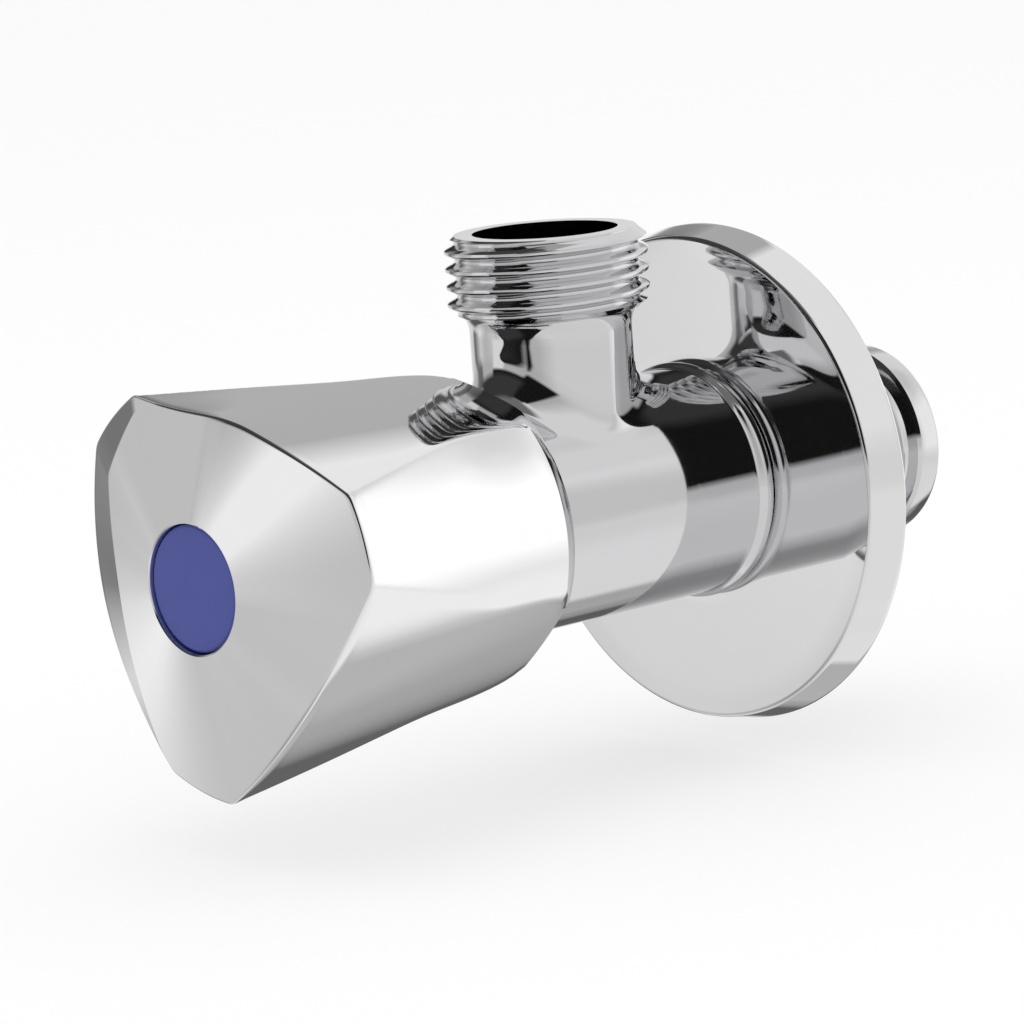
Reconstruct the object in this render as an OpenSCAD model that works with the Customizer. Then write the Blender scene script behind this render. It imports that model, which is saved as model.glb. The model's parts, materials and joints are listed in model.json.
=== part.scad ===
// Quarter-turn angle valve with a wall rosette and a three-lobed handle.
// The inlet axis is the Y axis: the wall plane is Y = 0, the inlet points to +Y, the handle to -Y.
// The outlet points up, to +Z. Lengths called "from the wall" run forwards, from Y = 0 to -Y.

/* [Connections] */
// Outer diameter of the inlet and outlet threads
thread_d = 20.955; // [19:0.005:23]
// Length of the inlet nipple behind the wall plane
inlet_len = 22.7; // [16:0.1:40]
// Diameter of the water bore in the inlet nipple
inlet_bore_d = 12; // [9:0.1:14]
// Diameter of the water way through the cartridge seat
seat_bore_d = 9.2; // [6:0.1:10]
// Distance of the outlet axis in front of the wall plane
outlet_from_wall = 23.3; // [20:0.1:40]
// Height of the outlet's end face above the inlet axis
outlet_height = 28.8; // [24:0.1:45]
// Length of the outlet thread
outlet_thread_len = 8.2; // [7:0.1:12]
// Diameter of the outlet's end bore
outlet_bore_d = 15; // [12:0.1:16.5]
// Depth of the outlet's end bore
outlet_bore_depth = 10; // [5:0.1:12]
// Diameter of the passage from the cartridge to the outlet
passage_d = 10; // [6:0.1:11]
// Outer diameter of the outlet neck below its thread
neck_d = 16.8; // [15:0.1:18.5]

/* [Body] */
// Outer diameter of the barrel
barrel_d = 24; // [23.6:0.1:27]
// Extra radius of the collar that stops the rosette
collar_rise = 0.5; // [0.2:0.1:1]
// Length of the collar
collar_len = 2.4; // [1.5:0.1:4]
// Radius of the fillet between neck and barrel
neck_fillet = 4.8; // [1.5:0.1:6]
// Size of the edge chamfers on the body
edge_chamfer = 0.8; // [0.4:0.1:1]

/* [Rosette] */
// Outer diameter of the rosette at the wall
rosette_d = 53.2; // [45:0.1:70]
// Depth of the rosette
rosette_depth = 4.4; // [3:0.1:7]
// Radial width of the rounded shoulder
shoulder_w = 2.2; // [1.6:0.1:6]
// Thickness of the rosette sheet
rosette_wall = 0.9; // [0.6:0.05:1.5]

/* [Cartridge] */
// Outer diameter of the cartridge thread
cartridge_d = 17.1; // [16.8:0.05:17.5]
// Length of the housing from its lower end to its hexagon
housing_len = 13.7; // [11:0.1:18]
// Width of the hexagon across its flats
hex_flats = 19; // [17:0.1:20]
// Thickness of the hexagon
hex_t = 4; // [2.5:0.1:5]
// Length of the round nose in front of the hexagon
nose_len = 2.5; // [1.5:0.1:4]
// Diameter of the ceramic discs
disc_d = 14.2; // [13.4:0.1:14.6]
// Thickness of one ceramic disc
disc_t = 3; // [2:0.1:4]
// Angle of one port in a disc
port_angle = 80; // [60:1:84]
// Thickness of the ring under the discs
disc_seal_t = 2; // [1.5:0.1:3]
// Thickness of the driving foot of the spindle
foot_t = 5; // [4:0.1:7]
// Thickness of the thrust washer
thrust_t = 0.5; // [0.3:0.1:1]
// Section diameter of the ring under the hexagon
housing_seal_d = 1.6; // [1:0.1:1.7]

/* [Spindle] */
// Diameter of the spindle
spindle_d = 8; // [7:0.1:9]
// Section diameter of the rings on the spindle
spindle_seal_d = 0.86; // [0.7:0.02:1.2]
// Length of the spline
spline_len = 10; // [7:0.1:12]
// Number of teeth on the spline
spline_teeth = 20; // [12:1:24]
// Thickness of the retaining clip
clip_t = 0.8; // [0.5:0.1:1.2]
// Turn of the handle from closed to open
turn_angle = 90; // [60:1:100]
// Width of the stop rib, as an angle
stop_angle = 40; // [25:1:60]

/* [Handle] */
// Length of the handle from its rear rim to its face
handle_len = 36.6; // [35.5:0.1:45]
// Length over which the handle covers the barrel
skirt_overlap = 3.7; // [2:0.1:5]
// Radial gap between the barrel and the handle skirt
skirt_gap = 1.2; // [0.6:0.1:2]
// Radius of the three lobes at the front
lobe_r = 22.3; // [21:0.1:25]
// Radius of the lobes where the rear dome starts
waist_r = 16.9; // [16.4:0.1:19]
// Length of the rear dome
dome_len = 10.6; // [4:0.1:14]
// Distance from the axis to the middle of a side, at the front
side_front = 17.4; // [16:0.1:18.5]
// Distance from the axis to the middle of a side, at the rear rim
side_rear = 14.8; // [14:0.1:15.5]
// Radius of the curved sides
side_r = 66; // [45:1:120]
// Direction of the first lobe, counted from +X
lobe_direction = 15; // [0:1:119]
// Fall of the face, in millimetres for each millimetre of radius
face_slope = 0.25; // [0.1:0.01:0.4]
// Thickness of the handle wall
handle_wall = 1.8; // [1:0.1:2.4]
// Thickness of the ribs inside the handle
rib_t = 1.4; // [1:0.1:3]
// Diameter of the index button
button_d = 12.78; // [11:0.01:15]
// Depth of the recess behind the button
recess_depth = 6.4; // [5.6:0.1:8]
// Thickness of the web that the screw clamps
web_t = 2; // [1.5:0.1:3]
// Width of the hexagonal spline insert across its flats
insert_flats = 11; // [10.5:0.1:12]

/* [Fasteners] */
// Diameter of the handle screw
screw_d = 3.9; // [3:0.1:4.4]
// Diameter of the screw head
screw_head_d = 7.2; // [6:0.1:9]
// Height of the screw head
screw_head_h = 2.4; // [1.6:0.1:2.8]
// Length of the screw inside the spindle
screw_bite = 6.8; // [4:0.1:10]
// Thickness of the lock washer
lock_washer_t = 0.7; // [0.4:0.1:1]

/* [Clearances] */
// Clearance between fitted pieces
fit_gap = 0.05; // [0.02:0.01:0.1]
// Radial clearance between running pieces
run_gap = 0.05; // [0.02:0.01:0.1]
// Film between sliding faces
film = 0.02; // [0.01:0.01:0.05]
// Radial clearance between the rosette and the nipple
rosette_gap = 0.3; // [0.1:0.05:0.6]

/* [Hidden] */
$fn = 96;
cut = 1;
chrome = [0.80, 0.81, 0.83];
brass = [0.78, 0.66, 0.36];
rubber = [0.10, 0.10, 0.11];
ceramic = [0.93, 0.93, 0.90];
polymer = [0.92, 0.91, 0.88];

thread_r = thread_d / 2;
barrel_r = barrel_d / 2;
neck_r = neck_d / 2;
neck_flare = 2.1;
boss_r = neck_r + neck_flare;
cove_height = 2;
cove_rise = 0.9;
thread_chamfer = 0.9;
shank_step = 0.5;
inlet_thread_at = 1;
rim_round = 0.4;
seat_depth = 4;

// Distances from the wall along the axis, from the seat to the front of the body
shoulder_at = rosette_depth + film;
seat_at = outlet_from_wall - disc_seal_t - 2 * disc_t - foot_t / 2;
lower_disc_at = seat_at + disc_seal_t;
upper_disc_at = lower_disc_at + disc_t + film;
foot_at = upper_disc_at + disc_t + film;
foot_end = foot_at + foot_t - 3 * film;
thrust_at = foot_end + film;
housing_at = thrust_at + thrust_t;
front_at = housing_at + housing_len;
hex_end = front_at + hex_t;
nose_end = hex_end + nose_len;

// Radii inside the body
cartridge_r = cartridge_d / 2;
chamber_r = cartridge_r + fit_gap;
gallery_rise = 1.2;
gallery_r = chamber_r + gallery_rise;
gallery_len = foot_t + 2 * disc_t;
sleeve_gap = 0.3;
sleeve_r = cartridge_r - sleeve_gap;
disc_r = disc_d / 2;
sleeve_inner_r = disc_r + run_gap;
seal_pocket_r = cartridge_r + housing_seal_d + fit_gap;
seal_pocket_depth = housing_seal_d;
seal_step = 0.4;
seal_inner_r = seat_bore_d / 2 + seal_step;
key_w = 3;
key_depth = 1;
spigot_len = 2;
lip_gap = 0.6;
port_hub_r = 2;
port_r = seal_inner_r;

// The spindle
spindle_r = spindle_d / 2;
bore_r = spindle_r + run_gap;
ring_groove_r = bore_r - spindle_seal_d - 2 * film;
ring_slack = 0.25;
ring_groove_w = spindle_seal_d + ring_slack;
rear_ring_share = 0.35;
front_ring_share = 0.7;
rear_ring_at = housing_at + housing_len * rear_ring_share;
front_ring_at = housing_at + housing_len * front_ring_share;
clip_play = 0.1;
clip_depth = 0.55;
clip_w = 2;
clip_to_spline = 0.6;
spline_step = 0.1;
spline_depth = 0.4;
clip_at = nose_end + clip_play;
clip_groove_r = spindle_r - clip_depth;
spline_tip_r = spindle_r - spline_step;
spline_root_r = spline_tip_r - spline_depth;
spline_at = clip_at + clip_t + clip_to_spline;
spindle_end = spline_at + spline_len;
foot_plate_t = 1.5;
stop_depth = 1.5;
stop_r = disc_r - stop_depth;
stop_gap = 1;
stop_direction = 270;
tongue_w = 1.6;
tongue_h = 1.2;
tongue_len = 3;
tongue_inset = 2.4;
tongue_r = disc_r - tongue_inset;

// The handle
rim_at = front_at - skirt_overlap;
rim_inner_r = barrel_r + skirt_gap;
rim_r = rim_inner_r + handle_wall;
face_at = rim_at + handle_len;
recess_r = button_d / 2 + fit_gap;
lip_w = 0.7;
cone_r = recess_r + lip_w;
lobe_at = face_at - face_slope * (lobe_r - cone_r);
lobe_chamfer = 0.5;
recess_at = face_at - recess_depth;
web_at = recess_at - web_t;
hub_r = max(recess_r, insert_flats / 2 / cos(30) + fit_gap) + handle_wall;
hub_step = 0.6;
hub_at = spline_at + hub_step;
rib_setback = 1.5;
face_wall = 2.2;
insert_step = 0.4;
insert_at = hub_at + insert_step;
insert_end = web_at - fit_gap;
screw_r = screw_d / 2;
screw_play = 0.25;
washer_rise = 0.3;
washer_teeth = 8;
tooth_gap = 16;
tooth_len = 1;
cross_len = 4.6;
cross_w = 0.9;
screw_hole_r = screw_r + screw_play;
washer_r = screw_head_d / 2 + washer_rise;
head_at = recess_at + lock_washer_t;
screw_tip = spindle_end - screw_bite;
tap_r = screw_r + fit_gap;
tap_run_out = 1.5;
tap_depth = screw_bite + tap_run_out;
button_set_in = 0.2;
button_rim_gap = 3;
button_wall = 1.2;
button_at = face_at - button_set_in;
button_depth = recess_depth - button_rim_gap;
button_t = 1.4;
button_edge = 0.4;

// Turns a shape whose Z axis points forwards onto the valve's axis
module on_axis() {
    rotate([90, 0, 0]) children();
}

// Disc or bar of radius r between two distances from the wall
module bar(r, from, to) {
    translate([0, 0, from]) cylinder(r = r, h = to - from);
}

module ring(outer, inner, from, to) {
    difference() {
        bar(outer, from, to);
        bar(inner, from - cut, to + cut);
    }
}

module hexagon(flats, from, to) {
    translate([0, 0, from]) cylinder(r = flats / 2 / cos(30), h = to - from, $fn = 6);
}

// Wedge of the given angle, centred on a direction, reaching past radius r
module wedge(angle, direction, r, from, to) {
    reach = 2 * r;
    half = angle / 2;
    translate([0, 0, from]) rotate([0, 0, direction]) linear_extrude(height = to - from) polygon([
        [0, 0],
        [reach * cos(half), -reach * sin(half)],
        [reach * 1.5, 0],
        [reach * cos(half), reach * sin(half)]
    ]);
}

// Wedge cut to the band between two radii
module sector(angle, direction, inner, outer, from, to) {
    intersection() {
        ring(outer, inner, from, to);
        wedge(angle, direction, outer, from - cut, to + cut);
    }
}

module seal_ring(centre_r, section_d, at) {
    translate([0, 0, at]) rotate_extrude() translate([centre_r, 0]) circle(d = section_d, $fn = 32);
}

// Body, one forging: inlet nipple, barrel and outlet neck
module barrel_solid() {
    rotate_extrude() polygon([
        [0, -inlet_len],
        [thread_r - thread_chamfer, -inlet_len],
        [thread_r, thread_chamfer - inlet_len],
        [thread_r, inlet_thread_at],
        [thread_r - shank_step, inlet_thread_at + shank_step],
        [thread_r - shank_step, shoulder_at],
        [barrel_r + collar_rise - rim_round, shoulder_at],
        [barrel_r + collar_rise, shoulder_at + rim_round],
        [barrel_r + collar_rise, shoulder_at + collar_len - collar_rise],
        [barrel_r, shoulder_at + collar_len],
        [barrel_r, front_at - edge_chamfer],
        [barrel_r - edge_chamfer, front_at],
        [0, front_at]
    ]);
}

module neck_solid() {
    thread_bottom = outlet_height - outlet_thread_len;
    fillet_top = barrel_r + neck_fillet;
    rotate_extrude() polygon(concat(
        [[0, 0], [boss_r, 0], [boss_r, barrel_r]],
        [for (a = [15:15:90]) [boss_r - neck_flare * sin(a), fillet_top - neck_fillet * cos(a)]],
        [for (a = [0:18:90]) [neck_r + cove_rise * (1 - cos(a)), thread_bottom - cove_height * (1 - sin(a))]],
        [
            [thread_r - thread_chamfer, thread_bottom],
            [thread_r, thread_bottom + thread_chamfer],
            [thread_r, outlet_height - thread_chamfer],
            [thread_r - thread_chamfer, outlet_height],
            [0, outlet_height]
        ]
    ));
}

module body_bores() {
    on_axis() {
        bar(inlet_bore_d / 2, -inlet_len - cut, seat_at - seat_depth);
        bar(seat_bore_d / 2, seat_at - seat_depth - cut, seat_at + cut);
        bar(chamber_r, seat_at, front_at + cut);
        bar(gallery_r, outlet_from_wall - gallery_len / 2, outlet_from_wall + gallery_len / 2);
        bar(seal_pocket_r, front_at - seal_pocket_depth, front_at + cut);
    }
    translate([0, -outlet_from_wall, 0]) {
        cylinder(d = passage_d, h = outlet_height);
        translate([0, 0, outlet_height - outlet_bore_depth])
            cylinder(d = outlet_bore_d, h = outlet_bore_depth + cut);
    }
}

module valve_body() {
    color(chrome) difference() {
        union() {
            on_axis() barrel_solid();
            translate([0, -outlet_from_wall, 0]) neck_solid();
        }
        body_bores();
    }
}

// Pressed sheet rosette, loose on the nipple between the wall and the collar
module rosette() {
    r = rosette_d / 2;
    hole_r = thread_r + rosette_gap;
    flat_r = r - shoulder_w;
    inner_depth = rosette_depth - rosette_wall;
    inner_w = shoulder_w - rosette_wall;
    color(chrome) on_axis() rotate_extrude() polygon(concat(
        [[hole_r, inner_depth], [hole_r, rosette_depth], [flat_r, rosette_depth]],
        [for (a = [75:-15:0]) [flat_r + shoulder_w * cos(a), rosette_depth * sin(a)]],
        [for (a = [0:15:90]) [flat_r + inner_w * cos(a), inner_depth * sin(a)]]
    ));
}

// Screwed housing of the ceramic cartridge, with the stop rib at its lower end
module cartridge_housing() {
    thread_start = housing_at + spigot_len + 1;
    thread_end = front_at - seal_pocket_depth - 0.6;
    color(brass) on_axis() difference() {
        union() {
            bar(sleeve_inner_r - fit_gap, housing_at, housing_at + spigot_len);
            bar(sleeve_r, housing_at + spigot_len, thread_start);
            bar(cartridge_r, thread_start, thread_end);
            bar(cartridge_r - 0.1, thread_end, front_at);
            intersection() {
                hexagon(hex_flats, front_at, hex_end);
                rotate_extrude() polygon([
                    [0, front_at],
                    [hex_flats * 0.56, front_at],
                    [hex_flats * 0.56, hex_end - 0.8],
                    [hex_flats * 0.5, hex_end],
                    [0, hex_end]
                ]);
            }
            bar(spindle_r + 2.4, hex_end, nose_end);
            sector(
                stop_angle, stop_direction, stop_r + 0.1, sleeve_inner_r - fit_gap,
                foot_end - foot_plate_t + film, housing_at + 0.1
            );
        }
        bar(bore_r, housing_at - cut, nose_end + cut);
    }
}

// Lower cage that holds the discs, with two windows for the water
module cartridge_sleeve() {
    color(brass) on_axis() difference() {
        union() {
            ring(sleeve_r, sleeve_inner_r, seat_at + lip_gap, housing_at + spigot_len - film);
            for (side = [0, 180])
                rotate([0, 0, side]) intersection() {
                    bar(sleeve_r, lower_disc_at, upper_disc_at - 0.3);
                    translate([disc_r - key_depth + fit_gap, fit_gap - key_w / 2, seat_at])
                        cube([sleeve_r, key_w - 2 * fit_gap, upper_disc_at]);
                }
        }
        for (side = [90, 270])
            wedge(90, side, sleeve_r, upper_disc_at + 1, foot_end - foot_plate_t);
    }
}

module disc_seal() {
    color(rubber) on_axis() ring(disc_r, seal_inner_r, seat_at, lower_disc_at);
}

// Fixed ceramic disc: two ports, and two notches for the keys of the cage
module lower_disc() {
    color(ceramic) on_axis() difference() {
        bar(disc_r, lower_disc_at, upper_disc_at - film);
        for (side = [90, 270])
            sector(port_angle, side, port_hub_r, port_r, lower_disc_at - cut, upper_disc_at + cut);
        for (side = [0, 180])
            rotate([0, 0, side]) translate([disc_r - key_depth, -key_w / 2, lower_disc_at - cut])
                cube([key_depth * 2, key_w, disc_t + 2 * cut]);
    }
}

// Two wings with open gaps between them, shared by the turning disc and the foot
module wings(r, from, to) {
    difference() {
        bar(r, from, to);
        for (side = [0, 180])
            sector(port_angle, side, port_hub_r, r * 2, from - cut, to + cut);
    }
}

module tongues(gap, from, to) {
    for (side = [90, 270])
        rotate([0, 0, side]) translate([tongue_r - tongue_len / 2 - gap, -tongue_w / 2 - gap, from])
            cube([tongue_len + 2 * gap, tongue_w + 2 * gap, to - from]);
}

module upper_disc() {
    color(ceramic) on_axis() difference() {
        wings(disc_r, upper_disc_at, foot_at - film);
        tongues(fit_gap, foot_at - tongue_h - 0.2, foot_at + cut);
    }
}

module thrust_washer() {
    color(polymer) on_axis() ring(stop_r - 0.2, bore_r + 0.1, thrust_at, housing_at);
}

// Outline of a spline with straight-sided teeth
module spline_outline(tip_r, root_r) {
    step = 360 / spline_teeth;
    polygon([
        for (tooth = [0:spline_teeth - 1])
            for (corner = [[root_r, -0.30], [tip_r, -0.14], [tip_r, 0.14], [root_r, 0.30]])
                [
                    corner[0] * cos((tooth + corner[1]) * step),
                    corner[0] * sin((tooth + corner[1]) * step)
                ]
    ]);
}

module spindle() {
    notch = turn_angle + stop_angle + 2 * stop_gap;
    notch_direction = stop_direction - turn_angle / 2;
    plate_at = foot_end - foot_plate_t;
    color(brass) on_axis() difference() {
        union() {
            wings(disc_r, foot_at, plate_at);
            tongues(0, foot_at - tongue_h, foot_at + 0.1);
            difference() {
                bar(disc_r, plate_at, foot_end);
                sector(notch, notch_direction, stop_r, disc_r * 2, plate_at - cut, foot_end + cut);
            }
            bar(spindle_r, foot_end - 0.1, spline_at);
            translate([0, 0, spline_at]) linear_extrude(height = spline_len)
                spline_outline(spline_tip_r, spline_root_r);
        }
        for (at = [rear_ring_at, front_ring_at])
            ring(spindle_r * 2, ring_groove_r, at - ring_groove_w / 2, at + ring_groove_w / 2);
        ring(spindle_r * 2, clip_groove_r, clip_at - film, clip_at + clip_t + film);
        bar(tap_r, spindle_end - tap_depth, spindle_end + cut);
    }
}

module spindle_seal(at) {
    color(rubber) on_axis() seal_ring(ring_groove_r + film + spindle_seal_d / 2, spindle_seal_d, at);
}

module spindle_seal_rear() {
    spindle_seal(rear_ring_at);
}

module spindle_seal_front() {
    spindle_seal(front_ring_at);
}

module housing_seal() {
    color(rubber) on_axis()
        seal_ring(seal_pocket_r - housing_seal_d / 2 - fit_gap / 2, housing_seal_d, front_at - seal_pocket_depth / 2);
}

// Open clip in the groove in front of the nose
module retaining_clip() {
    clip_r = spindle_r + clip_w;
    color("silver") on_axis() difference() {
        ring(clip_r, clip_groove_r + fit_gap, clip_at, clip_at + clip_t);
        wedge(100, 270, clip_r, clip_at - cut, clip_at + clip_t + cut);
    }
}

// Moulded insert between the spline and the handle's hexagonal socket
module spline_insert() {
    color(polymer) on_axis() difference() {
        hexagon(insert_flats, insert_at, insert_end);
        translate([0, 0, insert_at - cut]) linear_extrude(height = spindle_end + 0.3 - insert_at + cut)
            spline_outline(spline_tip_r + run_gap, spline_root_r + run_gap);
        bar(screw_hole_r, insert_at, insert_end + cut);
    }
}

// Revolved outline of the handle, set in by a wall thickness: rear dome, straight taper, conical face
module handle_revolve(inset, front) {
    rotate_extrude() polygon(concat(
        [[0, rim_at - inset], [rim_r - inset, rim_at - inset]],
        [for (a = [15:15:90]) [
            rim_r + (waist_r - rim_r) * sin(a) - inset,
            rim_at + dome_len * (1 - cos(a))
        ]],
        [
            [lobe_r - inset, lobe_at - lobe_chamfer],
            [lobe_r - lobe_chamfer - inset, front - face_slope * (lobe_r - lobe_chamfer - cone_r)],
            [cone_r, front],
            [0, front]
        ]
    ));
}

// One curved side of the handle, as a large tapering drum across the axis
module side_drum(side, inset) {
    rotate([0, 0, lobe_direction + 60 + 120 * side])
        translate([side_front - side_r, 0, rim_at - cut])
            cylinder(
                r1 = side_r - side_front + side_rear - inset,
                r2 = side_r - inset,
                h = handle_len + 2 * cut
            );
}

module handle_form(inset, front) {
    intersection() {
        handle_revolve(inset, front);
        side_drum(0, inset);
        side_drum(1, inset);
        side_drum(2, inset);
    }
}

module handle() {
    color(chrome) on_axis() difference() {
        handle_form(0, face_at);
        difference() {
            union() {
                handle_form(handle_wall, face_at - face_wall);
                bar(rim_inner_r, rim_at - cut, front_at + hub_step);
            }
            bar(hub_r, hub_at, face_at);
            for (lobe = [0:2])
                rotate([0, 0, lobe_direction + 120 * lobe])
                    translate([0, -rib_t / 2, hub_at + rib_setback]) cube([lobe_r, rib_t, handle_len]);
        }
        bar(recess_r, recess_at, face_at + cut);
        bar(screw_hole_r, web_at - cut, recess_at + cut);
        hexagon(insert_flats + 2 * fit_gap, hub_at - cut, web_at);
    }
}

// Washer with outer teeth under the screw head
module lock_washer() {
    color("silver") on_axis() difference() {
        ring(washer_r, screw_r + fit_gap, recess_at, head_at);
        for (tooth = [0:washer_teeth - 1])
            sector(
                tooth_gap, tooth * 360 / washer_teeth,
                washer_r - tooth_len, washer_r * 2, recess_at - cut, head_at + cut
            );
    }
}

module handle_screw() {
    head_r = screw_head_d / 2;
    color("silver") on_axis() difference() {
        rotate_extrude() polygon([
            [0, screw_tip],
            [screw_r - 0.5, screw_tip],
            [screw_r, screw_tip + 0.5],
            [screw_r, head_at],
            [head_r, head_at],
            [head_r, head_at + screw_head_h * 0.45],
            [head_r * 0.8, head_at + screw_head_h * 0.85],
            [head_r * 0.4, head_at + screw_head_h],
            [0, head_at + screw_head_h]
        ]);
        for (turn = [0, 90])
            rotate([0, 0, turn]) translate([-cross_len / 2, -cross_w / 2, head_at + screw_head_h * 0.45])
                cube([cross_len, cross_w, screw_head_h]);
    }
}

// Cap that covers the screw and marks cold water
module index_button() {
    r = button_d / 2;
    bottom = button_at - button_depth;
    color([0.29, 0.34, 0.61]) on_axis() rotate_extrude() polygon([
        [r - button_wall, bottom],
        [r, bottom],
        [r, button_at - button_edge],
        [r - button_edge * 0.3, button_at - button_edge * 0.3],
        [r - button_edge, button_at],
        [0, button_at],
        [0, button_at - button_t],
        [r - button_wall, button_at - button_t]
    ]);
}

valve_body();
rosette();
cartridge_housing();
cartridge_sleeve();
disc_seal();
lower_disc();
upper_disc();
thrust_washer();
spindle();
spindle_seal_rear();
spindle_seal_front();
housing_seal();
retaining_clip();
spline_insert();
handle();
lock_washer();
handle_screw();
index_button();
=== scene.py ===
import json
import math

import bmesh
import bpy
from mathutils import Matrix, Vector


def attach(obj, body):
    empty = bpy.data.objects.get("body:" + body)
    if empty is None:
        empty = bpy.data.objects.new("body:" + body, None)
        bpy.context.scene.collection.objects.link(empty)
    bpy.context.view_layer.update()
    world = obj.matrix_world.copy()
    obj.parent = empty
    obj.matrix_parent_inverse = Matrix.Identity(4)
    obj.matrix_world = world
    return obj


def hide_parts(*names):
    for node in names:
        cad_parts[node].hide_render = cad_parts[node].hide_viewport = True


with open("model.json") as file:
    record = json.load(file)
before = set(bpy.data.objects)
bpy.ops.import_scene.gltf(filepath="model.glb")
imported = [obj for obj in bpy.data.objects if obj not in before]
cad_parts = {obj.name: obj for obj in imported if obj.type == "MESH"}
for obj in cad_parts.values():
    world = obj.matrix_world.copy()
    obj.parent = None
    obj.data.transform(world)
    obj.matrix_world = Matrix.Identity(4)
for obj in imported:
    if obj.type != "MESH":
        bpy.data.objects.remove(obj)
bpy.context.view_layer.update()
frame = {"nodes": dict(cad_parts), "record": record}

bl_info = {
    "name": "Angle Valve Dressing",
    "version": (1, 0, 0),
    "blender": (4, 5, 0),
    "location": "View3D > Sidebar > Valve",
    "description": "Chromed visible pieces, inner pieces and stage of a quarter-turn angle valve",
    "category": "Object",
}

MM = 0.001
WALL_POINT = Vector((0.0, 0.0, 0.0))
FORWARD = Vector((0.0, -1.0, 0.0))
UP = Vector((0.0, 0.0, 1.0))

# Points nearer than this are one: in a single piece, and where the body's parts meet
MERGE = 2e-7
SEAM_MERGE = 5e-6

# How finely the pieces are divided
THREAD_STEPS = 12
ROUND_STEPS = 128
BARREL_STEPS = 36
FLAT_STEPS = 40
FLAT_CROWDING = 0.8
FILLET_STEPS = 12
NECK_STEPS = 5
COVE_STEPS = 10
COLLAR_STEPS = 8
COLLAR_EDGE_STEPS = 9
BORE_STEPS = 96
ROSETTE_STEPS = 192
HANDLE_STEPS = 288
HANDLE_ROWS = 44
ROW_CROWDING = 0.9
EDGE_STEPS = 5
BUTTON_STEPS = 96
FACE_SHARES = (0.0, 0.12, 0.3, 0.5, 0.7, 0.85, 0.94, 0.985, 1.0)
BEVEL_SHARES = (0.04, 0.12, 0.35, 0.65, 0.9, 1.0)
WALL_SHARES = (0.05, 0.3, 0.6, 0.9, 1.0)

# Small details of the threads, the body and its bores
HAIR = 0.02 * MM
SLACK = 1.0 * MM
THREAD_FLAT = 0.1
THREAD_LEAD = 1.5
THREAD_SPARE_TURNS = 3
THREAD_SLACK = 0.2 * MM
THREAD_RUN_OUT = 0.05 * MM
NECK_CORE_WALL = 0.35 * MM
NECK_CORE_STEP = 0.1 * MM
FRONT_BAND = 0.8 * MM
COLLAR_ROUND = 1.1 * MM
SHANK_END = 1.0 * MM
SHANK_STEP = 0.5 * MM
CORE_CHAMFER = 0.3 * MM
CORE_WALL = 1.0 * MM
INLET_THREAD_START = 0.5 * MM
LEAD_GROOVE = 1.4 * MM
LEAD_CHAMFER = 0.35 * MM
LEAD_ROUND = 0.55 * MM
LEAD_ROUND_STEP = 0.16 * MM
LEAD_BORE_CHAMFER = 0.3 * MM
SEAT_RADIUS = 4.6 * MM
SEAT_LENGTH = 4.0 * MM
GALLERY_START = 17.8 * MM
GALLERY_END = 28.8 * MM
GALLERY_DEPTH = 1.2 * MM
POCKET_START = 38.4 * MM
POCKET_RADIUS = 10.2 * MM
PASSAGE_START = 4.0 * MM
PASSAGE_CHAMFER = 0.6 * MM

# Small details of the rosette, the handle and the button; the rims are pairs of distance and inset,
# the button's crown is pairs of rise and share of its radius
ROSETTE_GAP = 0.3 * MM
ROSETTE_EDGE = 0.3 * MM
ROSETTE_BEND_ANGLE = math.radians(78.0)
ROSETTE_INSET = 0.05 * MM
ROSETTE_RIM_ROUND = 0.2 * MM
ROSETTE_RIM = ((0.06 * MM, 0.03 * MM), (0.0, 0.15 * MM))
ROSETTE_INNER_EDGE = 0.1 * MM
CONE_FLAT = 0.75 * MM
CONE_RUN_IN = 0.25 * MM
SIDE_BLEND = 0.12 * MM
BEVEL_NARROWNESS = 1.435
FULLNESS_NARROWNESS = 1.3
LEANNESS_NARROWNESS = 1.8
FULLNESS_GROWTH = 1.5
LEAST_BEVEL = 0.2 * MM
EDGE_ROUNDS = 12
SKIRT_BOTTOM = 48.4 * MM
SKIRT_BOTTOM_STEP = 0.2 * MM
HUB_RADIUS = 8.0 * MM
SOCKET_RADIUS = 6.4 * MM
WEB_THICKNESS = 2.0 * MM
SCREW_HOLE_RADIUS = 2.2 * MM
RIM_INNER_EDGE = 0.3 * MM
RIM_OUTER_EDGE = 0.25 * MM
RIM_ROUND = ((0.08 * MM, 0.12 * MM), (0.0, 0.3 * MM))
FACE_LIP = 0.04 * MM
BUTTON_GAP = 0.05 * MM
BUTTON_DEPTH = 0.2 * MM
BUTTON_LENGTH = 3.4 * MM
BUTTON_EDGE = 0.45 * MM
BUTTON_WALL = 1.2 * MM
BUTTON_TOP_WALL = 1.4 * MM
BUTTON_CROWN = ((0.03 * MM, 0.7), (0.05 * MM, 0.35), (0.05 * MM, 0.0))

# Heights of the finest relief, in metres
GRAIN_HEIGHT = 0.00002
TURNING_HEIGHT = 0.00003

# Stage: brightness of the open studio to reflections, of the light on matt surfaces,
# and of the floor's own share to the camera
OPEN_STUDIO = 1.15
PLAIN_LIGHT = 0.92
FLOOR_GLOW = 0.6
FLOOR_SIZE = 6.0
LAMP_PLACE = (0.05, -0.10, 0.7)
LAMP_TARGET = (0.0, -0.03, 0.0)
LAMP_SIZE = (0.5, 0.5)
CAMERA_FRAME = 36.0
CAMERA_REACH = (0.01, 20.0)

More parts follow.
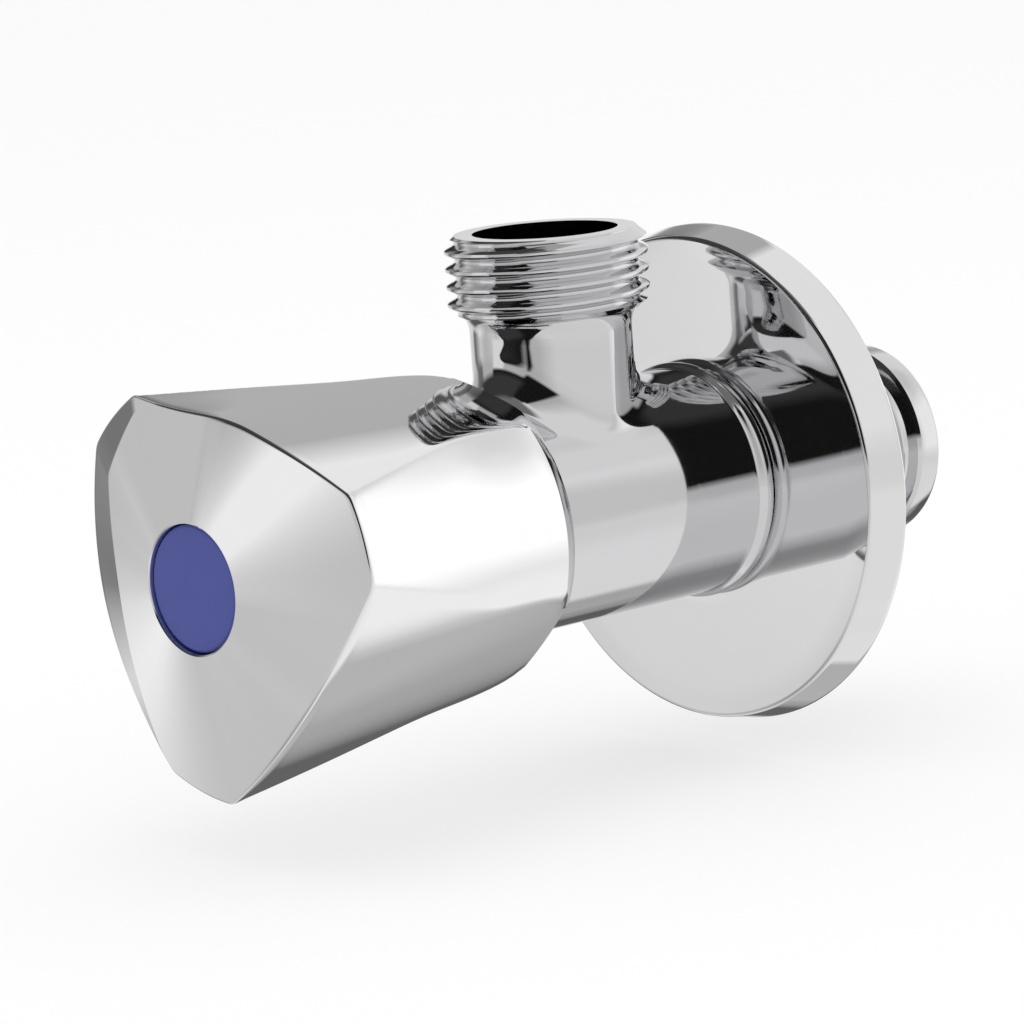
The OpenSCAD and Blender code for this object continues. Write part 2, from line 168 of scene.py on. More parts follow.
# Cards round the object for its reflections, later ones in front: direction from -Y towards +X,
# half width, lower and upper edge, softness, all in degrees, and brightness
STUDIO_CARDS = (
    (-41.0, 79.0, -90.0, 90.0, 31.0, 0.57),
    (69.0, 66.0, -10.0, 59.0, 6.0, 0.56),
    (151.0, 71.0, 2.0, 90.0, 27.0, 0.89),
    (156.0, 116.0, -90.0, 0.0, 24.0, 0.86),
    (-8.0, 130.0, 63.0, 89.0, 7.0, 0.20),
    (-136.0, 11.0, 7.0, 90.0, 6.0, 0.46),
    (170.0, 19.0, -62.0, -40.0, 8.0, 0.88),
    (-150.0, 28.0, -75.0, -39.0, 6.0, 0.50),
    (-133.0, 45.0, -40.0, -20.0, 8.0, 0.13),
    (-117.0, 12.0, 4.0, 30.0, 4.0, 0.03),
    (-87.0, 11.0, -14.0, 29.0, 6.0, 0.19),
    (-105.0, 10.0, -5.0, 21.0, 11.0, 0.60),
    (-95.0, 32.0, 36.0, 75.0, 8.0, 0.06),
    (-47.0, 9.0, -22.0, -8.0, 22.0, 0.90),
    (-35.0, 11.0, -11.0, 11.0, 5.0, 0.94),
    (-76.0, 8.0, -25.0, -6.0, 14.0, 0.98),
    (36.0, 53.0, -61.0, -18.0, 25.0, 0.84),
    (-22.0, 26.0, -54.0, -37.0, 23.0, 0.23),
    (3.0, 50.0, 11.0, 64.0, 6.0, 0.01),
    (37.0, 23.0, 2.0, 60.0, 5.0, 0.01),
    (-32.0, 51.0, 20.0, 67.0, 12.0, 0.05),
    (134.0, 4.0, -5.0, 24.0, 5.0, 0.75),
    (159.0, 24.0, -50.0, -18.0, 10.0, 0.95),
    (154.0, 15.0, -12.0, 25.0, 10.0, 1.14),
    (172.0, 14.0, 31.0, 46.0, 10.0, 0.74),
)


# Sizes and colours that a user would change

def length(name, description, millimetres):
    return bpy.props.FloatProperty(
        name=name, description=description, default=millimetres * MM,
        precision=5, unit="LENGTH", subtype="DISTANCE",
    )


def angle(name, description, degrees):
    return bpy.props.FloatProperty(
        name=name, description=description, default=math.radians(degrees), subtype="ANGLE",
    )


def ratio(name, description, default):
    return bpy.props.FloatProperty(name=name, description=description, default=default)


def colour(name, description, default):
    return bpy.props.FloatVectorProperty(
        name=name, description=description, default=default, size=3, min=0.0, max=1.0, subtype="COLOR",
    )


class ValveSizes(bpy.types.PropertyGroup):
    """Sizes of the visible pieces, as in the construction"""

    thread_radius: length("Thread radius", "Radius over the thread crests", 10.4775)
    thread_pitch: length("Thread pitch", "Distance between two crests", 1.814)
    thread_depth: length("Thread depth", "Radial depth of the thread", 1.05)
    thread_chamfer: length("Thread chamfer", "Chamfer at both ends of a thread", 0.9)
    outlet_from_wall: length("Outlet distance", "Outlet axis in front of the wall plane", 23.3)
    outlet_height: length("Outlet height", "End face of the outlet above the inlet axis", 28.8)
    outlet_thread_length: length("Outlet thread length", "Length of the outlet thread", 8.2)
    outlet_bore_radius: length("Outlet bore radius", "Radius of the outlet's end bore", 7.5)
    outlet_bore_depth: length("Outlet bore depth", "Depth of the outlet's end bore", 10.0)
    passage_radius: length("Passage radius", "Water passage below the outlet bore", 5.0)
    inlet_length: length("Inlet length", "Nipple behind the wall plane", 22.7)
    inlet_bore_radius: length("Inlet bore radius", "Water bore of the nipple", 6.0)
    lead_ring: length("Lead ring", "Plain ring at the nipple's end", 3.2)
    shank_radius: length("Shank radius", "Plain shank between collar and inlet thread", 9.9775)
    barrel_radius: length("Barrel radius", "Outer radius of the barrel", 12.0)
    barrel_front: length("Barrel front", "Front face of the barrel from the wall plane", 40.0)
    chamber_radius: length("Chamber radius", "Bore for the cartridge", 8.6)
    seat_distance: length("Seat distance", "Cartridge seat from the wall plane", 12.8)
    collar_rise: length("Collar rise", "How far the collar stands out of the barrel", 0.5)
    collar_length: length("Collar length", "Length of the collar", 2.4)
    neck_radius: length("Neck radius", "Outer radius of the outlet neck", 8.4)
    cove_height: length("Cove height", "Height of the hollow flare below the outlet thread", 2.0)
    cove_rise: length("Cove rise", "How far the hollow flare widens the neck", 0.9)
    neck_fillet: length("Neck fillet", "Radius of the blend between neck and barrel", 4.8)
    rosette_radius: length("Rosette radius", "Outer radius of the rosette", 26.6)
    rosette_depth: length("Rosette depth", "Depth of the rosette", 4.4)
    rosette_wall: length("Rosette wall", "How far the side wall flares and bends outside the flat", 1.4)
    rosette_bend: length("Rosette bend", "Radius of the bend between flat and side wall", 0.55)
    rosette_sheet: length("Rosette sheet", "Thickness of the sheet", 0.9)
    handle_rim: length("Handle rim", "Rear rim of the handle from the wall plane", 36.3)
    handle_face: length("Handle face", "Middle of the handle's face from the wall plane", 72.9)
    rim_radius: length("Rim radius", "Outer radius of the rear rim", 15.0)
    skirt_radius: length("Skirt radius", "Inner radius of the skirt", 13.2)
    lobe_radius: length("Lobe radius", "Radius of the lobes at the front", 22.3)
    waist_radius: length("Waist radius", "Radius of the lobes where the rear dome starts", 16.9)
    dome_length: length("Dome length", "Length of the rear dome", 10.6)
    waist_blend: length("Waist blend", "Softness of the change from rear dome to taper", 0.7)
    side_front: length("Side at the front", "Axis to the middle of a side at the front", 17.4)
    side_rear: length("Side at the rear", "Axis to the middle of a side at the rear", 14.8)
    side_radius: length("Side radius", "Radius of the curved sides", 66.0)
    edge_radius: length("Edge radius", "Rounding of the handle's edges", 0.3)
    edge_chamfer: length("Edge chamfer", "Chamfer of the lobes at the face", 0.5)
    bevel_width: length("Bevel width", "Widest place of the bevel beside the face", 5.5)
    side_fullness: length("Side fullness", "How much fuller the bevelled side is at the face", 2.4)
    lobe_leanness: length("Lobe leanness", "How much leaner the lobe above the bevel is at the face", 1.5)
    button_radius: length("Button radius", "Radius of the index button", 6.39)
    recess_depth: length("Recess depth", "Depth of the recess behind the button", 6.4)
    lobe_direction: angle("Lobe direction", "Direction of the first lobe from +X", 15.0)
    bevel_direction: angle("Bevel direction", "Direction of the bevel's widest place from +X", 174.8)
    fullness_direction: angle("Fullness direction", "Direction of the fullest place from +X", 185.0)
    leanness_direction: angle("Leanness direction", "Direction of the leanest place from +X", 114.0)
    bevel_slope: ratio("Bevel slope", "Fall of the bevel beyond the face, for each unit of radius", 0.14)
    face_slope: ratio("Face slope", "Fall of the face for each unit of radius", 0.25)


class ValveFinish(bpy.types.PropertyGroup):
    """Colours of the finishes"""

    handle_chrome: colour("Handle chrome", "Polished plate on the smooth handle", (0.89, 0.89, 0.90))
    # Rosette and body chrome are darker copies of the handle's chrome. Their lower tones are painted shade
    # that darkens the reflections on these pieces; the body's plate is not really duller.
    rosette_chrome: colour("Rosette chrome", "Polished plate on the pressed rosette", (0.82, 0.82, 0.83))
    body_chrome: colour("Body chrome", "Slightly darker plate on the forged body", (0.69, 0.69, 0.70))
    button: colour("Button", "Blue of the index button", (0.057, 0.075, 0.300))
    brass: colour("Brass", "Turned brass of the cartridge", (0.60, 0.42, 0.16))
    rubber: colour("Rubber", "Black sealing rings", (0.02, 0.02, 0.022))
    ceramic: colour("Ceramic", "Lapped discs", (0.80, 0.79, 0.74))
    polymer: colour("Polymer", "White moulded pieces", (0.78, 0.76, 0.70))
    steel: colour("Steel", "Screw, washer and clip", (0.55, 0.55, 0.56))
    floor: colour("Floor", "Pale floor", (0.97, 0.97, 0.97))


class ValveStage(bpy.types.PropertyGroup):
    """Camera and light"""

    camera_place: bpy.props.FloatVectorProperty(
        name="Camera place", description="Where the camera stands", size=3,
        default=(0.39026, -0.38390, 0.08877), subtype="TRANSLATION", unit="LENGTH",
    )
    camera_azimuth: angle("Azimuth", "Turn of the view from +Y", 47.838)
    camera_elevation: angle("Elevation", "Height angle of the view", 9.502)
    camera_roll: angle("Roll", "Roll of the view", -4.009)
    camera_lens: bpy.props.FloatProperty(
        name="Lens", description="Focal length in millimetres on a 36 mm frame", default=183.55, min=1.0,
    )
    floor_height: length("Floor height", "Height of the floor below the inlet axis", -29.0)
    lamp_power: bpy.props.FloatProperty(
        name="Lamp power", description="Power of the main soft lamp", default=0.8, unit="POWER",
    )


def sizes():
    return bpy.context.scene.valve_sizes


def finish_colours():
    return bpy.context.scene.valve_finish


# Shader expressions: a wrapped socket adds its nodes when it is used in a sum

class Shade:
    """A socket in a material, with the usual operators on values"""

    def __init__(self, tree, socket):
        self.tree = tree
        self.socket = socket

    def join(self, operation, *others):
        node = self.tree.nodes.new("ShaderNodeMath")
        node.operation = operation
        for place, value in enumerate(others):
            if isinstance(value, Shade):
                self.tree.links.new(value.socket, node.inputs[place])
            else:
                node.inputs[place].default_value = value
        return Shade(self.tree, node.outputs[0])

    def __add__(self, other):
        return self.join("ADD", self, other)

    __radd__ = __add__

    def __mul__(self, other):
        return self.join("MULTIPLY", self, other)

    __rmul__ = __mul__

    def __sub__(self, other):
        return self.join("SUBTRACT", self, other)

    def __rsub__(self, other):
        return self.join("SUBTRACT", other, self)

    def clamp(self, low, high):
        return self.join("MINIMUM", self.join("MAXIMUM", self, low), high)


class Finish:
    """One node material with a Principled shader at its end"""

    def __init__(self, name, base, roughness, metallic=0.0):
        self.material = bpy.data.materials.new(name)
        self.material.use_nodes = True
        self.tree = self.material.node_tree
        self.tree.nodes.clear()
        self.shader = self.tree.nodes.new("ShaderNodeBsdfPrincipled")
        output = self.tree.nodes.new("ShaderNodeOutputMaterial")
        self.tree.links.new(self.shader.outputs["BSDF"], output.inputs["Surface"])
        self.shader.inputs["Base Color"].default_value = (*base, 1.0)
        self.shader.inputs["Roughness"].default_value = roughness
        self.shader.inputs["Metallic"].default_value = metallic
        self.place = Shade(self.tree, self.tree.nodes.new("ShaderNodeTexCoord").outputs["Object"])

    def node(self, kind, settings=None, output=0, **values):
        made = self.tree.nodes.new(kind)
        for key, value in (settings or {}).items():
            setattr(made, key, value)
        for key, value in values.items():
            socket = made.inputs[key.replace("_", " ")]
            if isinstance(value, Shade):
                self.tree.links.new(value.socket, socket)
            else:
                socket.default_value = value
        return Shade(self.tree, made.outputs[output])

    def noise(self, scale, detail=3.0, stretch=(1.0, 1.0, 1.0)):
        mapped = self.node("ShaderNodeMapping", Vector=self.place, Scale=stretch)
        return self.node("ShaderNodeTexNoise", Vector=mapped, Scale=scale, Detail=detail)

    def feed(self, socket, value):
        self.tree.links.new(value.socket, self.shader.inputs[socket])

    def bump(self, height, strength, distance):
        self.feed("Normal", self.node(
            "ShaderNodeBump", Height=height, Strength=strength, Distance=distance,
        ))

    def tint(self, factor, dark, light):
        """Base colour between two colours; 6 and 7 are the colour inputs of the node, 2 its colour output"""
        mixed = self.tree.nodes.new("ShaderNodeMix")
        mixed.data_type = "RGBA"
        mixed.inputs[6].default_value = (*dark, 1.0)
        mixed.inputs[7].default_value = (*light, 1.0)
        self.tree.links.new(factor.socket, mixed.inputs[0])
        self.feed("Base Color", Shade(self.tree, mixed.outputs[2]))


def shaded(base, share):
    return tuple(channel * share for channel in base)


def chrome_finish(name, base, wave_scale, wave_distance):
    """Polished plate: near-even gloss, faint wiping marks and a slow waviness of the polished metal"""
    chrome = Finish(name, base, roughness=0.04, metallic=1.0)
    smear = chrome.noise(scale=90.0, detail=4.0)
    fine = chrome.noise(scale=2600.0, detail=2.0)
    chrome.feed("Roughness", smear * 0.03 + fine * 0.012 + 0.018)
    chrome.tint(smear, shaded(base, 0.97), base)
    chrome.bump(chrome.noise(scale=wave_scale, detail=1.0), strength=1.0, distance=wave_distance)
    return chrome.material


def button_finish():
    """Moulded blue plastic with a faint orange peel"""
    base = tuple(finish_colours().button)
    plastic = Finish("index_button_blue", base, roughness=0.32)
    cloud = plastic.noise(scale=140.0)
    plastic.tint(cloud, shaded(base, 0.92), shaded(base, 1.06))
    plastic.feed("Roughness", cloud * 0.10 + 0.27)
    plastic.shader.inputs["Specular IOR Level"].default_value = 0.3
    plastic.bump(plastic.noise(scale=1800.0, detail=2.0), strength=0.25, distance=GRAIN_HEIGHT)
    return plastic.material


def turned_finish(name, base, roughness):
    """Turned metal: fine rings along the axis and slight tarnish"""
    metal = Finish(name, base, roughness, metallic=1.0)
    tarnish = metal.noise(scale=220.0, detail=4.0)
    rings = metal.noise(scale=900.0, detail=2.0, stretch=(0.02, 6.0, 0.02))
    metal.tint(tarnish, shaded(base, 0.82), base)
    metal.feed("Roughness", tarnish * 0.14 + rings * 0.08 + (roughness - 0.08))
    metal.bump(rings, strength=0.3, distance=TURNING_HEIGHT)
    return metal.material


def rubber_finish(name, base):
    """Moulded rubber, matt with a soft bloom"""
    rubber = Finish(name, base, roughness=0.72)
    bloom = rubber.noise(scale=400.0)
    rubber.tint(bloom, base, tuple(channel + 0.02 for channel in base))
    rubber.feed("Roughness", bloom * 0.2 + 0.6)
    rubber.bump(rubber.noise(scale=3000.0, detail=2.0), strength=0.2, distance=GRAIN_HEIGHT)
    return rubber.material


def moulded_finish(name, base, roughness, grain):
    """Moulded polymer or lapped ceramic, with a fine grain"""
    body = Finish(name, base, roughness)
    cloud = body.noise(scale=180.0)
    body.tint(cloud, shaded(base, 0.94), base)
    body.feed("Roughness", cloud * 0.12 + (roughness - 0.06))
    body.bump(body.noise(scale=grain, detail=2.0), strength=0.2, distance=GRAIN_HEIGHT)
    return body.material


def floor_finish():
    """Pale matt floor: partly white to the camera, so that only a soft shadow shows"""
    pale = Finish("studio_floor_white", tuple(finish_colours().floor), roughness=0.9)
    pale.shader.inputs["Specular IOR Level"].default_value = 0.0
    tree = pale.tree
    path = tree.nodes.new("ShaderNodeLightPath")
    glow = tree.nodes.new("ShaderNodeEmission")
    mix = tree.nodes.new("ShaderNodeMixShader")
    share = Shade(tree, path.outputs["Is Camera Ray"]) * FLOOR_GLOW
    tree.links.new(share.socket, mix.inputs[0])
    tree.links.new(pale.shader.outputs[0], mix.inputs[1])
    tree.links.new(glow.outputs[0], mix.inputs[2])
    tree.links.new(mix.outputs[0], tree.nodes["Material Output"].inputs["Surface"])
    return pale.material


# Tools for modelling

def deselect():
    bpy.ops.object.select_all(action="DESELECT")


def select_only(piece):
    deselect()
    piece.select_set(True)
    bpy.context.view_layer.objects.active = piece


def edit(piece):
    select_only(piece)
    bpy.ops.object.mode_set(mode="EDIT")
    bpy.ops.mesh.select_all(action="SELECT")


def leave_edit():
    bpy.ops.object.mode_set(mode="OBJECT")


def tidy_mesh(piece, merge=MERGE):
    edit(piece)
    bpy.ops.mesh.remove_doubles(threshold=merge)
    bpy.ops.mesh.normals_make_consistent(inside=False)
    leave_edit()


def draw_line(name, points):
    """A line of vertices, drawn by extruding one vertex from point to point"""
    deselect()
    bpy.ops.mesh.primitive_plane_add(size=MM, location=(0.0, 0.0, 0.0))
    piece = bpy.context.object
    piece.name = name
    edit(piece)
    bpy.ops.mesh.merge(type="CENTER")
    bpy.ops.transform.translate(value=points[0])
    for before, after in zip(points, points[1:]):
        bpy.ops.mesh.extrude_region_move(TRANSFORM_OT_translate={"value": Vector(after) - Vector(before)})
    leave_edit()
    return piece


def revolve(name, points, axis, centre, steps):
    """A piece turned about an axis from a line of points"""
    piece = draw_line(name, points)
    edit(piece)
    bpy.ops.mesh.spin(steps=steps, angle=math.tau, center=centre, axis=axis)
    leave_edit()
    tidy_mesh(piece)
    return piece


def along_axis(profile):
    """Points in the YZ plane from pairs of distance from the wall and radius"""
    return [Vector((0.0, -distance, radius)) for distance, radius in profile]


def beside_outlet(profile):
    """Points beside the outlet axis from pairs of radius and height"""
    place = -sizes().outlet_from_wall
    return [Vector((radius, place, height)) for radius, height in profile]


def arc(centre, radius, start, end, steps):
    """Pairs on a circular arc"""
    angles = [start + (end - start) * step / steps for step in range(steps + 1)]
    return [(centre[0] + radius * math.cos(a), centre[1] + radius * math.sin(a)) for a in angles]


def eased(share):
    """A rise from nothing to one that is level at both ends"""
    return 0.5 - 0.5 * math.cos(math.pi * share)


def apply_modifier(piece, modifier):
    select_only(piece)
    bpy.ops.object.modifier_apply(modifier=modifier.name)


def apply_boolean(piece, tool, operation):
    modifier = piece.modifiers.new("Cut", "BOOLEAN")
    modifier.operation = operation
    modifier.object = tool
    modifier.solver = "EXACT"
    apply_modifier(piece, modifier)
    bpy.data.objects.remove(tool, do_unlink=True)


def joined(name, pieces):
    deselect()
    for piece in pieces:
        piece.select_set(True)
    bpy.context.view_layer.objects.active = pieces[0]
    bpy.ops.object.join()
    whole = bpy.context.object
    whole.name = name
    return whole


def smooth(piece, degrees):
    select_only(piece)
    bpy.ops.object.shade_smooth_by_angle(angle=math.radians(degrees))


def dress(piece, material, body, node):
    """Gives a finished piece its material and body, and lets it stand for its CAD node"""
    piece.data.materials.clear()
    piece.data.materials.append(material)
    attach(piece, body)
    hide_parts(node)


def mesh_piece(name, rings):
    """A mesh through rings of equally many points, each ring closed on itself"""
    count = len(rings[0])
    faces = []
    for row in range(len(rings) - 1):
        for column in range(count):
            following = (column + 1) % count
            faces.append((
                row * count + column, row * count + following,
                (row + 1) * count + following, (row + 1) * count + column,
            ))
    mesh = bpy.data.meshes.new(name)
    mesh.from_pydata([point for ring in rings for point in ring], [], faces)
    piece = bpy.data.objects.new(name, mesh)
    bpy.context.collection.objects.link(piece)
    return piece


# Threads

def thread_profile(root, crest, pitch):
    """One pitch of the thread: radius and place along it, with rounded root and crest"""
    profile = []
    for step in range(THREAD_STEPS + 1):
        share = step / THREAD_STEPS
        rise = (1.0 - abs(2.0 * share - 1.0) - THREAD_FLAT) / (1.0 - 2.0 * THREAD_FLAT)
        profile.append((root + (crest - root) * eased(min(max(rise, 0.0), 1.0)), share * pitch))
    return profile


def thread_solid(name, start, end, bore):
    """A screwed sleeve along +Z: the profile is screwed round, cut off and chamfered at both ends"""
    s = sizes()
    crest = s.thread_radius
    root = crest - s.thread_depth
    pitch, chamfer = s.thread_pitch, s.thread_chamfer
    piece = draw_line(name, [
        Vector((radius, 0.0, start - THREAD_LEAD * pitch + place))
        for radius, place in thread_profile(root, crest, pitch)
    ])
    screw = piece.modifiers.new("Helix", "SCREW")
    screw.axis = "Z"
    screw.angle = math.tau
    screw.screw_offset = pitch
    screw.iterations = int((end - start) / pitch) + THREAD_SPARE_TURNS
    screw.steps = ROUND_STEPS
    screw.render_steps = ROUND_STEPS
    apply_modifier(piece, screw)
    edit(piece)
    bpy.ops.mesh.remove_doubles(threshold=MERGE)
    for height, side in ((start - THREAD_SLACK, -1.0), (end + THREAD_SLACK, 1.0)):
        bpy.ops.mesh.select_all(action="SELECT")
        bpy.ops.mesh.bisect(
            plane_co=(0.0, 0.0, height), plane_no=(0.0, 0.0, side), use_fill=True, clear_outer=True,
        )
    leave_edit()
    tidy_mesh(piece)
    ends, outside = root - THREAD_RUN_OUT, crest + THREAD_SLACK
    blank = [
        (bore, start), (ends, start), (outside, start + chamfer + THREAD_SLACK),
        (outside, end - chamfer - THREAD_SLACK), (ends, end), (bore, end), (bore, start),
    ]
    tool = revolve(name + "_blank", [Vector((r, 0.0, z)) for r, z in blank], UP, WALL_POINT, ROUND_STEPS)
    apply_boolean(piece, tool, "INTERSECT")
    return piece


# Body

def barrel_edge(front, rear):
    """Edge of the unrolled barrel: pairs of angle round it and distance from the outlet's axis"""
    edge = [(math.pi * (2 * i / ROUND_STEPS - 1), front) for i in range(ROUND_STEPS)]
    edge += [(math.pi, front + (rear - front) * i / BARREL_STEPS) for i in range(BARREL_STEPS)]
    edge += [(math.pi * (1 - 2 * i / ROUND_STEPS), rear) for i in range(ROUND_STEPS)]
    edge += [(-math.pi, rear + (front - rear) * i / BARREL_STEPS) for i in range(BARREL_STEPS)]
    return edge


def neck_end(bottom):
    """Hollow flare below the outlet thread, then the core inside it, as pairs of radius and height"""
    s = sizes()
    profile = []
    for step in range(1, COVE_STEPS + 1):
        swing = math.radians(90.0 * step / COVE_STEPS)
        profile.append((
            s.neck_radius + s.cove_rise * (1.0 - math.cos(swing)), bottom + s.cove_height * math.sin(swing),
        ))
    core = s.neck_radius + NECK_CORE_WALL
    profile.append((core, bottom + s.cove_height + NECK_CORE_STEP))
    profile.append((core, s.outlet_height - HAIR))
    return profile


def blend_rings():
    """Rings that run from the barrel's edge, over the neck's fillet, up to the neck's top"""
    s = sizes()
    place = -s.outlet_from_wall
    front = -(s.barrel_front - s.outlet_from_wall)
    rear = s.outlet_from_wall - s.rosette_depth - s.collar_length
    radius, fillet = s.barrel_radius, s.neck_fillet
    reach = s.neck_radius + fillet
    neck_top = s.outlet_height - s.outlet_thread_length - s.cove_height
    edge = barrel_edge(front, rear)
    directions = [math.atan2(v, u * radius) for u, v in edge]
    rings = [[] for _ in range(FLAT_STEPS + FILLET_STEPS + NECK_STEPS + 1)]
    for (u, v), turn in zip(edge, directions):
        ball = Vector((reach * math.cos(turn), reach * math.sin(turn), 0.0))
        ball.z = math.sqrt((radius + fillet) ** 2 - ball.x ** 2)
        contact = (math.atan2(ball.x, ball.z), ball.y)
        for step in range(FLAT_STEPS):
            share = (step / FLAT_STEPS) ** FLAT_CROWDING
            angle = u + (contact[0] - u) * share
            offset = v + (contact[1] - v) * share
            rings[step].append((radius * math.sin(angle), place + offset, radius * math.cos(angle)))
        low = Vector((-ball.x, 0.0, -ball.z)).normalized()
        high = Vector((-math.cos(turn), -math.sin(turn), 0.0))
        for step in range(FILLET_STEPS + 1):
            point = ball + low.slerp(high, step / FILLET_STEPS) * fillet
            rings[FLAT_STEPS + step].append((point.x, place + point.y, point.z))
        for step in range(1, NECK_STEPS + 1):
            height = ball.z + (neck_top - ball.z) * step / NECK_STEPS
            rings[FLAT_STEPS + FILLET_STEPS + step].append((
                s.neck_radius * math.cos(turn), place + s.neck_radius * math.sin(turn), height,
            ))
    for ring_radius, height in neck_end(neck_top):
        rings.append([
            (ring_radius * math.cos(turn), place + ring_radius * math.sin(turn), height)
            for turn in directions
        ])
    return rings


def body_skin():
    """Barrel, neck and their blend as one closed skin"""
    s = sizes()
    rings = blend_rings()
    piece = mesh_piece("valve_body_chrome", rings)
    mesh = piece.data
    work = bmesh.new()
    work.from_mesh(mesh)
    work.verts.ensure_lookup_table()
    last = (len(rings) - 1) * len(rings[0])
    work.faces.new([work.verts[last + column] for column in range(len(rings[0]))])
    bmesh.ops.remove_doubles(work, verts=work.verts[:], dist=MERGE)
    work.to_mesh(mesh)
    work.free()
    root = s.thread_radius - s.thread_depth
    shoulder = s.rosette_depth + HAIR
    collar = s.barrel_radius + s.collar_rise
    end = -s.inlet_length + HAIR
    rear_profile = []
    for step in range(COLLAR_STEPS + 1):
        place = s.rosette_depth + s.collar_length - COLLAR_ROUND * step / COLLAR_STEPS
        rear_profile.append((place, s.barrel_radius + s.collar_rise * eased(step / COLLAR_STEPS)))
    middle = (shoulder + COLLAR_ROUND, collar - COLLAR_ROUND)
    rear_profile += arc(middle, COLLAR_ROUND, math.pi / 2, math.pi, COLLAR_EDGE_STEPS)
    rear_profile += [
        (shoulder, s.shank_radius), (-SHANK_END, s.shank_radius), (-SHANK_END - SHANK_STEP, root),
        (-s.inlet_length + CORE_CHAMFER, root), (end, root - CORE_CHAMFER), (end, 0.0),
    ]
    front_profile = [
        (s.barrel_front, radius) for radius in (s.barrel_radius, s.barrel_radius - FRONT_BAND, 0.0)
    ]
    rear = revolve("rear_part", along_axis(rear_profile), FORWARD, WALL_POINT, ROUND_STEPS)
    front = revolve("front_part", along_axis(front_profile), FORWARD, WALL_POINT, ROUND_STEPS)
    whole = joined("valve_body_chrome", [piece, rear, front])
    tidy_mesh(whole, SEAM_MERGE)
    return whole


def bore_tools():
    """Solids of the water ways"""
    s = sizes()
    chamber, gallery = s.chamber_radius, s.chamber_radius + GALLERY_DEPTH
    seat = s.seat_distance
    start, end = -s.inlet_length - SLACK, s.barrel_front + SLACK
    inlet = revolve("inlet_way", along_axis([
        (start, 0.0), (start, s.inlet_bore_radius), (seat - SEAT_LENGTH, s.inlet_bore_radius),
        (seat - SEAT_LENGTH, SEAT_RADIUS), (seat, SEAT_RADIUS), (seat, chamber),
        (GALLERY_START, chamber), (GALLERY_START, gallery), (GALLERY_END, gallery), (GALLERY_END, chamber),
        (POCKET_START, chamber), (POCKET_START, POCKET_RADIUS), (end, POCKET_RADIUS), (end, 0.0),
    ]), FORWARD, WALL_POINT, BORE_STEPS)
    floor, top = s.outlet_height - s.outlet_bore_depth, s.outlet_height + SLACK
    outlet = revolve("outlet_way", beside_outlet([
        (0.0, PASSAGE_START), (s.passage_radius, PASSAGE_START), (s.passage_radius, floor - PASSAGE_CHAMFER),
        (s.passage_radius + PASSAGE_CHAMFER, floor), (s.outlet_bore_radius, floor),
        (s.outlet_bore_radius, top), (0.0, top),
    ]), UP, (0.0, -s.outlet_from_wall, 0.0), BORE_STEPS)
    return inlet, outlet


def outlet_thread():
    s = sizes()
    bottom = s.outlet_height - s.outlet_thread_length
    piece = thread_solid("outlet_thread", bottom, s.outlet_height, s.outlet_bore_radius)
    select_only(piece)
    bpy.ops.transform.translate(value=(0.0, -s.outlet_from_wall, 0.0))
    bpy.ops.object.transform_apply(location=True, rotation=True, scale=True)
    return piece


def inlet_thread():
    """The nipple's thread, laid from +Z onto +Y, with its plain lead ring"""
    s = sizes()
    crest, bore = s.thread_radius, s.inlet_bore_radius
    end, start = s.inlet_length, s.inlet_length - s.lead_ring
    piece = thread_solid("inlet_thread", -INLET_THREAD_START, start - LEAD_GROOVE, bore + CORE_WALL)
    piece.data.transform(Matrix.Rotation(math.radians(-90.0), 4, "X"))
    ring = revolve("lead_ring", along_axis([
        (-start, bore), (-start, crest - LEAD_CHAMFER), (-start - LEAD_CHAMFER, crest),
        (-end + LEAD_ROUND, crest), (-end + LEAD_ROUND_STEP, crest - LEAD_ROUND_STEP),
        (-end, crest - LEAD_ROUND), (-end, bore + LEAD_BORE_CHAMFER), (-end + LEAD_BORE_CHAMFER, bore),
        (-start, bore),
    ]), FORWARD, WALL_POINT, ROUND_STEPS)
    return [piece, ring]


class VALVE_OT_body(bpy.types.Operator):
    """Model the forged body: barrel, outlet neck with its blend, collar, threads and water ways"""

    bl_idname = "valve.body"
    bl_label = "Valve Body"
    bl_options = {"REGISTER", "UNDO"}

    def execute(self, context):
        body = body_skin()
        for tool in bore_tools():
            apply_boolean(body, tool, "DIFFERENCE")
        whole = joined("valve_body_chrome", [body, outlet_thread(), *inlet_thread()])
        smooth(whole, degrees=32.0)
        # The body's chrome tone is darkened: painted shade on its reflections.
        plate = chrome_finish(
            "body_chrome", tuple(finish_colours().body_chrome), wave_scale=55.0, wave_distance=0.00004,
        )
        dress(whole, plate, "body", "valve_body")
        return {"FINISHED"}


